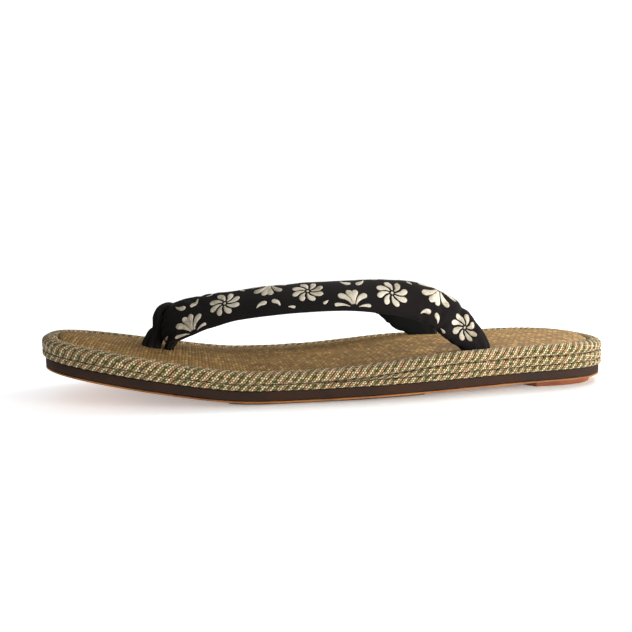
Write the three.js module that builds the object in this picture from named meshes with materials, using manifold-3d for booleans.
// A zori sandal, in millimetres. +X points to the toe, +Y to the wearer's left and +Z up.
// The origin is under the middle of the sole, on the plane that the sandal stands on.
// The sole is a stack of sheets that share one outline and one bent base line. The straps
// (hanao) are one padded solid that runs from its rear slots round to the toe loop and back.
import * as THREE from "three";
import { mergeVertices } from "three/addons/utils/BufferGeometryUtils.js";
import Module from "manifold-3d";

const wasm = await Module();
wasm.setup();

// ---- Driving dimensions ----
const LENGTH = 260; // toe tip to heel tip of the woven sole
const BALL_HALF_WIDTH = 47; // at the widest, under the ball of the foot
const HEEL_HALF_WIDTH = 39.4;
const TOE_CURVE = { length: 130, power: 2.85 }; // superellipse from the toe tip to the ball
const HEEL_CURVE = { length: 38, power: 2.55 }; // superellipse from the seat to the heel tip
const GAP = 0.3; // air between pieces that meet

const OUTSOLE = 1.0; // thickness of each sheet
const MIDSOLE = 4.1;
const LOWER_TIER = 2.75;
const WEDGE = { thickness: 3.9, thinnest: 0.3, front: 116, back: 179, lap: 8 };
const SIDE_INSET = 1.2; // the rubber sheets stand this far inside the woven sides

const BASE = { rest: 1.0, bend: 107, heelRise: 2.15, heelAt: 240, heelPower: 1.5 };
const TOE_SPRING = { start: 82.4, rise: 13.9, power: 1.09, ease: 9 };
const TOE_SWELL = { height: 1.2, reach: 45 }; // the cushion is thicker at the very toe

const RECESS = { inset: 6.4, floor: 3.3 }; // the shallow tray in the cushion that holds the mat
const MAT = { inset: 6.8, edge: 4.2, crown: 5.7, bevel: 1.2 }; // heights over the cushion's floor
const PAD_INSET = 4.2; // the tread pads stand this far inside the rubber sheets' edge
const PAD_THICKNESS = 1.2;
const FORE_PAD = { front: 67, back: 161 };
const HEEL_PAD = { front: 209, back: LENGTH - 6 };
const PAD_BEVEL = 1.0;
const PAD_FRONT = { sweep: 30, fullness: 0.7 }; // how far back its rounded front edge sweeps

const OUTLINE_POINTS = 40; // along each side of the outline
const STRAP_SECTIONS = 40;
const STRAP_SIDES = 16;
const STRAP_ROUNDNESS = 0.85; // 1 is an ellipse, less is squarer
const LOOP_SECTIONS = 30;
const LOOP_SIDES = 12;

// ---- Heights, each a function of s, the distance back from the toe tip ----
const smooth = (t) => {
  const u = THREE.MathUtils.clamp(t, 0, 1);
  return u * u * (3 - 2 * u);
};

// Underside of the outsole: level under the ball, sprung up at the toe and a little at the heel.
function soleBase(s) {
  const ahead = TOE_SPRING.start - s;
  const toe = (ahead + Math.hypot(ahead, TOE_SPRING.ease)) / 2 / TOE_SPRING.start;
  const heel = Math.max((s - BASE.bend) / (BASE.heelAt - BASE.bend), 0);
  return (
    BASE.rest +
    TOE_SPRING.rise * toe ** TOE_SPRING.power +
    BASE.heelRise * heel ** BASE.heelPower
  );
}

function wedgeHeight(s) {
  const rise = smooth((s - WEDGE.front) / (WEDGE.back - WEDGE.front));
  return WEDGE.thinnest + (WEDGE.thickness - WEDGE.thinnest) * rise;
}

const midsoleFloor = (s) => soleBase(s) + OUTSOLE;
const lowerTierFloor = (s) => midsoleFloor(s) + MIDSOLE;
const wedgeFloor = (s) => lowerTierFloor(s) + LOWER_TIER;

// The cushion lies on the wedge, and laps down in front of it on to the lower tier.
function cushionFloor(s) {
  const lap = smooth((s - WEDGE.front + WEDGE.lap) / WEDGE.lap);
  return wedgeFloor(s) + lap * wedgeHeight(s);
}

const toeSwell = (s) => TOE_SWELL.height * Math.exp(-((s / TOE_SWELL.reach) ** 2));

// ---- Outline ----
function halfWidth(s) {
  const heelStart = LENGTH - HEEL_CURVE.length;
  if (s < TOE_CURVE.length) {
    const t = 1 - s / TOE_CURVE.length;
    return BALL_HALF_WIDTH * (1 - t ** TOE_CURVE.power) ** (1 / TOE_CURVE.power);
  }
  if (s < heelStart) {
    const t = smooth((s - TOE_CURVE.length) / (heelStart - TOE_CURVE.length));
    return THREE.MathUtils.lerp(BALL_HALF_WIDTH, HEEL_HALF_WIDTH, t);
  }
  const t = Math.min((s - heelStart) / HEEL_CURVE.length, 1);
  return HEEL_HALF_WIDTH * (1 - t ** HEEL_CURVE.power) ** (1 / HEEL_CURVE.power);
}

// The left side of the outline from sFrom to sTo, as evenly spaced {s, y, ns, ny}: a point
// and its outward normal. The right side is its mirror image.
function sideLine(sFrom, sTo, count) {
  const dense = [];
  const steps = 4000;
  for (let i = 0; i <= steps; i++) {
    const s = sFrom + ((sTo - sFrom) * (1 - Math.cos((Math.PI * i) / steps))) / 2;
    dense.push(new THREE.Vector2(s, halfWidth(s)));
  }
  const run = [0];
  for (let i = 1; i < dense.length; i++) {
    run.push(run[i - 1] + dense[i].distanceTo(dense[i - 1]));
  }
  const line = [];
  let at = 1;
  for (let k = 0; k < count; k++) {
    const target = (run[run.length - 1] * k) / (count - 1);
    while (at < run.length - 1 && run[at] < target) at++;
    const t = (target - run[at - 1]) / (run[at] - run[at - 1]);
    const p = dense[at - 1].clone().lerp(dense[at], t);
    const along = dense[at].clone().sub(dense[at - 1]).normalize();
    const tip = p.y < 1e-6;
    const endNormal = p.x < LENGTH / 2 ? -1 : 1;
    line.push({
      s: p.x,
      y: p.y,
      ns: tip ? endNormal : -along.y,
      ny: tip ? 0 : along.x,
    });
  }
  return line;
}

// ---- Solids ----
function toManifold(geometry) {
  const bare = new THREE.BufferGeometry();
  bare.setAttribute("position", geometry.getAttribute("position"));
  if (geometry.index) bare.setIndex(geometry.index);
  const merged = mergeVertices(bare, 1e-3);
  const index = merged.index.array;
  const kept = [];
  for (let i = 0; i < index.length; i += 3) {
    const [a, b, c] = [index[i], index[i + 1], index[i + 2]];
    if (a !== b && b !== c && c !== a) kept.push(a, b, c);
  }
  const mesh = new wasm.Mesh({
    numProp: 3,
    vertProperties: merged.attributes.position.array,
    triVerts: new Uint32Array(kept),
  });
  return new wasm.Manifold(mesh);
}

function toGeometry(manifold) {
  const mesh = manifold.getMesh();
  const shared = new THREE.BufferGeometry();
  shared.setAttribute("position", new THREE.BufferAttribute(mesh.vertProperties, 3));
  shared.setIndex(new THREE.BufferAttribute(mesh.triVerts, 1));
  const geometry = shared.toNonIndexed();
  geometry.computeVertexNormals();
  return geometry;
}

// A solid from loops of equal length, each an array of Vector3, joined one to the next. The
// first and last loops are capped across, from point k to point n - 1 - k.
function loft(loops) {
  const n = loops[0].length;
  const index = [];
  for (let i = 0; i + 1 < loops.length; i++) {
    for (let k = 0; k < n; k++) {
      const next = (k + 1) % n;
      const [a, b] = [i * n + k, i * n + next];
      index.push(a, b, b + n, a, b + n, a + n);
    }
  }
  const last = (loops.length - 1) * n;
  for (let k = 0; k < n / 2 - 1; k++) {
    const far = n - 1 - k;
    index.push(far, k + 1, k, far, far - 1, k + 1);
    index.push(last + k, last + k + 1, last + far, last + k + 1, last + far - 1, last + far);
  }
  const flat = loops.flat().flatMap((p) => [p.x, p.y, p.z]);
  const geometry = new THREE.BufferGeometry();
  geometry.setAttribute("position", new THREE.Float32BufferAttribute(flat, 3));
  geometry.setIndex(index);
  return geometry;
}

// A sheet of the sole. Each row is a ring round the outline, from the underside up:
// inset is how far it lies inside the outline, z(s) its height, and shrink (optional) pulls
// it further in towards the long axis, for a crown.
function sheet(rows, sFrom = 0, sTo = LENGTH, count = OUTLINE_POINTS) {
  const side = sideLine(sFrom, sTo, count);
  const middle = LENGTH / 2;
  const place = (p, row, hand) => {
    const pull = row.shrink ?? 0;
    const s = p.s - p.ns * row.inset;
    const y = Math.max(p.y - p.ny * row.inset, 0) * (1 - pull);
    const inner = middle + (s - middle) * (1 - pull * (BALL_HALF_WIDTH / middle));
    return new THREE.Vector3(middle - inner, hand * y, row.z(inner));
  };
  const loops = rows.map((row) => [
    ...side.map((p) => place(p, row, 1)),
    ...side.map((p) => place(p, row, -1)).reverse(),
  ]);
  return toManifold(loft(loops));
}

// A flat-sided sheet between two heights, with its edges eased by bulge at top and bottom.
function layer(inset, floor, thickness, bulge = 0, sFrom = 0, sTo = LENGTH) {
  const low = (s) => floor(s) + GAP / 2;
  const high = (s) => floor(s) + thickness(s) - GAP / 2;
  const rows = [{ inset: inset + bulge, z: low }];
  if (bulge > 0) {
    const third = (t) => (s) => THREE.MathUtils.lerp(low(s), high(s), t);
    rows.push({ inset, z: third(0.3) }, { inset, z: third(0.7) });
  }
  rows.push({ inset: inset + bulge, z: high });
  return sheet(rows, sFrom, sTo);
}

// The puffed, cloth-covered board that the foot stands on: a rolled rim round a shallow tray.
function cushion() {
  const rim = [
    { inset: 1.2, height: GAP / 2 },
    { inset: 0.35, height: 0.7 },
    { inset: 0.0, height: 1.6 },
    { inset: 0.0, height: 2.6 },
    { inset: 0.6, height: 3.7 },
    { inset: 1.9, height: 4.55 },
    { inset: 3.7, height: 4.9 },
    { inset: 5.3, height: 4.75 },
    { inset: RECESS.inset, height: 4.3 },
    { inset: RECESS.inset + 0.1, height: RECESS.floor },
  ];
  return sheet(
    rim.map(({ inset, height }) => ({
      inset,
      z: (s) => cushionFloor(s) + height + (height > 1 ? toeSwell(s) : 0),
    })),
  );
}

// The woven mat that fills the tray, crowned across the foot.
function mat() {
  const at = (height) => (s) => cushionFloor(s) + height + toeSwell(s);
  const crownStep = MAT.crown - MAT.edge;
  return sheet([
    { inset: MAT.inset, z: at(RECESS.floor + GAP) },
    { inset: MAT.inset, z: at(MAT.edge) },
    { inset: MAT.inset + MAT.bevel, z: at(MAT.edge + 0.3 * crownStep) },
    { inset: MAT.inset, shrink: 0.2, z: at(MAT.edge + 0.6 * crownStep) },
    { inset: MAT.inset, shrink: 0.45, z: at(MAT.edge + 0.9 * crownStep) },
    { inset: MAT.inset, shrink: 0.75, z: at(MAT.crown) },
  ]);
}

// A tread pad: its top follows the outsole, and its underside is cut level at the floor.
function treadPad({ front, back }, thickness) {
  const high = (s) => soleBase(s) - GAP;
  const low = (s) => Math.max(soleBase(s) - thickness, 0);
  const inset = SIDE_INSET + PAD_INSET;
  const ease = (s) => THREE.MathUtils.lerp(low(s), high(s), 0.4);
  const full = sheet([
    { inset: inset + PAD_BEVEL, z: low },
    { inset, z: ease },
    { inset, z: high },
  ]);
  return full.intersect(padWindow(front, back));
}

// A prism with a rounded front end that trims a pad to its length.
function padWindow(front, back) {
  const [xFront, xBack] = [LENGTH / 2 - front, LENGTH / 2 - back];
  const reach = BALL_HALF_WIDTH + 5;
  const pull = reach * PAD_FRONT.fullness;
  const shape = new THREE.Shape();
  shape.moveTo(xBack, -reach);
  shape.lineTo(xFront - PAD_FRONT.sweep, -reach);
  shape.quadraticCurveTo(xFront, -pull, xFront, 0);
  shape.quadraticCurveTo(xFront, pull, xFront - PAD_FRONT.sweep, reach);
  shape.lineTo(xBack, reach);
  const depth = 20;
  const prism = new THREE.ExtrudeGeometry(shape, {
    depth,
    bevelEnabled: false,
    curveSegments: 10,
  });
  prism.translate(0, 0, -depth / 2);
  return toManifold(prism);
}

// ---- Straps ----
// The left strap's centreline from the apex under the toe loop to its tail in the rear slot.
// s and y place it and z is its height. Its face looks up, tipped by lean degrees from upright
// towards a side given by turn: 0 is the toe and 90 is straight outwards.
const ANCHOR = { s: 188.0, y: 31.2, width: 13.2, thick: 6.0 };
const STRAP = [
  { s: 52.6, y: -1.0, z: 30.4, width: 13.2, thick: 5.4, lean: 90, turn: 0 },
  { s: 52.9, y: 3.0, z: 30.5, width: 14.0, thick: 5.6, lean: 88, turn: 8 },
  { s: 55.4, y: 6.9, z: 31.7, width: 15.8, thick: 6.1, lean: 82, turn: 36 },
  { s: 61.2, y: 9.7, z: 33.7, width: 16.0, thick: 6.1, lean: 72, turn: 61 },
  { s: 70.0, y: 12.6, z: 36.4, width: 16.0, thick: 6.2, lean: 56, turn: 70 },
  { s: 84.0, y: 17.0, z: 39.6, width: 16.6, thick: 6.3, lean: 43, turn: 74 },
  { s: 105.0, y: 22.4, z: 42.0, width: 17.2, thick: 6.3, lean: 37, turn: 78 },
  { s: 127.0, y: 26.6, z: 43.2, width: 17.8, thick: 6.3, lean: 37, turn: 82 },
  { s: 147.0, y: 29.0, z: 42.4, width: 18.2, thick: 6.4, lean: 48, turn: 85 },
  { s: 161.0, y: 30.2, z: 39.9, width: 18.0, thick: 6.4, lean: 60, turn: 87 },
  { s: 171.3, y: 31.0, z: 35.3, width: 17.0, thick: 6.4, lean: 70, turn: 89 },
  { s: 179.2, y: 31.3, z: 28.8, width: 16.0, thick: 6.2, lean: 76, turn: 90 },
  { s: 184.7, y: 31.3, z: 23.4, width: 14.4, thick: 6.0, lean: 85, turn: 90 },
  { s: 187.8, y: ANCHOR.y, z: 18.8, width: 13.4, thick: 6.0, lean: 90, turn: 90 },
  { ...ANCHOR, z: 14.1, lean: 90, turn: 90 },
];

// A padded tube swept along rows of {s, y, z, width, thick, lean, turn}, with an oval section.
function sweep(rows, sections, sides, roundness) {
  const path = new THREE.CatmullRomCurve3(
    rows.map((r) => new THREE.Vector3(LENGTH / 2 - r.s, r.y, r.z)),
    false,
    "centripetal",
  );
  const column = (name, t) => {
    const at = t * (rows.length - 1);
    const i = Math.min(Math.floor(at), rows.length - 2);
    return THREE.MathUtils.lerp(rows[i][name], rows[i + 1][name], smooth(at - i));
  };
  const loops = [];
  for (let i = 0; i < sections; i++) {
    const t = i / (sections - 1);
    const centre = path.getPoint(t);
    const along = path.getTangent(t);
    const lean = THREE.MathUtils.degToRad(column("lean", t));
    const turn = THREE.MathUtils.degToRad(column("turn", t));
    const face = new THREE.Vector3(Math.cos(turn), Math.sin(turn), 0);
    face.multiplyScalar(Math.sin(lean)).setZ(Math.cos(lean));
    face.addScaledVector(along, -face.dot(along)).normalize();
    const across = new THREE.Vector3().crossVectors(face, along);
    const [halfW, halfT] = [column("width", t) / 2, column("thick", t) / 2];
    const loop = [];
    for (let k = 0; k < sides; k++) {
      const a = (2 * Math.PI * (k + 0.5)) / sides;
      const [c, d] = [Math.cos(a), Math.sin(a)];
      const wide = Math.sign(c) * Math.abs(c) ** roundness * halfW;
      const deep = Math.sign(d) * Math.abs(d) ** roundness * halfT;
      loop.push(centre.clone().addScaledVector(across, wide).addScaledVector(face, deep));
    }
    loops.push(loop);
  }
  return toManifold(loft(loops));
}

function straps() {
  const left = sweep(STRAP, STRAP_SECTIONS, STRAP_SIDES, STRAP_ROUNDNESS);
  return left.add(left.mirror([0, 1, 0])).subtract(toeLoop(GAP));
}

// The toe loop (maetsubo): a soft band over the straps' apex, whose two legs go down through
// the footbed in front of the apex and behind it. It lies in the middle plane of the sandal.
const LOOP = [
  { s: 45.3, z: 15.4, width: 8.0, thick: 8.1 },
  { s: 45.3, z: 20.6, width: 8.4, thick: 8.1 },
  { s: 46.5, z: 24.6, width: 8.4, thick: 6.6 },
  { s: 48.0, z: 28.0, width: 8.6, thick: 4.6 },
  { s: 48.3, z: 33.0, width: 9.0, thick: 4.2 },
  { s: 49.6, z: 36.6, width: 9.2, thick: 3.6 },
  { s: 53.2, z: 38.7, width: 8.8, thick: 3.0 },
  { s: 56.6, z: 37.2, width: 8.0, thick: 3.0 },
  { s: 58.0, z: 33.0, width: 7.0, thick: 3.0 },
  { s: 58.0, z: 28.2, width: 6.4, thick: 3.0 },
  { s: 57.2, z: 24.8, width: 6.2, thick: 3.0 },
  { s: 55.4, z: 22.4, width: 6.0, thick: 3.0 },
  { s: 53.8, z: 20.8, width: 6.0, thick: 3.0 },
  { s: 53.3, z: 18.8, width: 5.8, thick: 3.0 },
  { s: 53.3, z: 14.1, width: 5.6, thick: 3.0 },
];

// The loop's path lies in the plane y = 0, so its width is across the sandal. Swell makes the
// band fatter all round, which is how the dent that it presses into the straps is cut.
function toeLoop(swell = 0) {
  const path = new THREE.CatmullRomCurve3(
    LOOP.map((r) => new THREE.Vector3(LENGTH / 2 - r.s, 0, r.z)),
    false,
    "centripetal",
  );
  const loops = [];
  for (let i = 0; i < LOOP_SECTIONS; i++) {
    const t = i / (LOOP_SECTIONS - 1);
    const at = t * (LOOP.length - 1);
    const row = Math.min(Math.floor(at), LOOP.length - 2);
    const mix = (name) =>
      THREE.MathUtils.lerp(LOOP[row][name], LOOP[row + 1][name], smooth(at - row));
    const centre = path.getPoint(t);
    const across = new THREE.Vector3(0, 1, 0);
    const out = new THREE.Vector3().crossVectors(across, path.getTangent(t));
    const loop = [];
    for (let k = 0; k < LOOP_SIDES; k++) {
      const a = (2 * Math.PI * (k + 0.5)) / LOOP_SIDES;
      loop.push(
        centre
          .clone()
          .addScaledVector(across, Math.cos(a) * (mix("width") / 2 + swell))
          .addScaledVector(out, -Math.sin(a) * (mix("thick") / 2 + swell)),
      );
    }
    loops.push(loop);
  }
  return toManifold(loft(loops));
}

// ---- Slots through the mat and the cushion for the strap tails and the loop's legs ----
const SLOT_GAP = 0.4;

function slot(s, y, lengthX, widthY) {
  const [halfX, halfY] = [lengthX / 2 + SLOT_GAP, widthY / 2 + SLOT_GAP];
  const shape = new THREE.Shape();
  shape.absellipse(LENGTH / 2 - s, y, halfX, halfY, 0, 2 * Math.PI);
  const depth = 40;
  const prism = new THREE.ExtrudeGeometry(shape, {
    depth,
    bevelEnabled: false,
    curveSegments: 12,
  });
  return toManifold(prism);
}

function cutSlots(solid) {
  const ease = 1.22; // an ellipse this much larger clears the squarer oval of the straps
  const bend = 0.9; // the slot reaches this far towards the toe, where the strap bends over
  const rearLeg = LOOP[LOOP.length - 1];
  const cuts = [
    slot(ANCHOR.s - bend, ANCHOR.y, ANCHOR.width * ease + bend, ANCHOR.thick * ease),
    slot(ANCHOR.s - bend, -ANCHOR.y, ANCHOR.width * ease + bend, ANCHOR.thick * ease),
    slot(LOOP[0].s, 0, LOOP[1].thick, LOOP[1].width),
    slot(rearLeg.s + 0.2, 0, rearLeg.thick + 0.4, rearLeg.width + 0.4),
  ];
  return cuts.reduce((rest, cut) => rest.subtract(cut), solid);
}

// ---- The sandal ----
const cloth = (color) =>
  new THREE.MeshStandardMaterial({ color, roughness: 0.9, metalness: 0 });
const rubber = (color, roughness) =>
  new THREE.MeshStandardMaterial({ color, roughness, metalness: 0 });

const sandal = new THREE.Group();
const add = (name, manifold, material) => {
  const mesh = new THREE.Mesh(toGeometry(manifold), material);
  mesh.name = name;
  sandal.add(mesh);
};

// The heel pad is thick enough to reach the floor from under the raised heel.
const heelThickness = soleBase(LENGTH);
add("forefoot_tread_pad", treadPad(FORE_PAD, PAD_THICKNESS), rubber(0x3a2a20, 0.7));
add("heel_tread_pad", treadPad(HEEL_PAD, heelThickness), rubber(0xa5603c, 0.6));
add("outsole", layer(SIDE_INSET, soleBase, () => OUTSOLE), rubber(0xb87a3c, 0.55));
add("midsole", layer(SIDE_INSET, midsoleFloor, () => MIDSOLE), rubber(0x3a2d2c, 0.85));
add("lower_tier", layer(0, lowerTierFloor, () => LOWER_TIER, 0.5), cloth(0xb09a68));
add(
  "wedge_tier",
  layer(0, wedgeFloor, wedgeHeight, 0.5, WEDGE.front),
  cloth(0xb09a68),
);
add("cushion_board", cutSlots(cushion()), cloth(0xa89060));
add("footbed_mat", cutSlots(mat()), cloth(0x9a7f50));
add("hanao_straps", straps(), cloth(0x1d191c));
add("toe_loop", toeLoop(), cloth(0x14131a));

export default sandal;
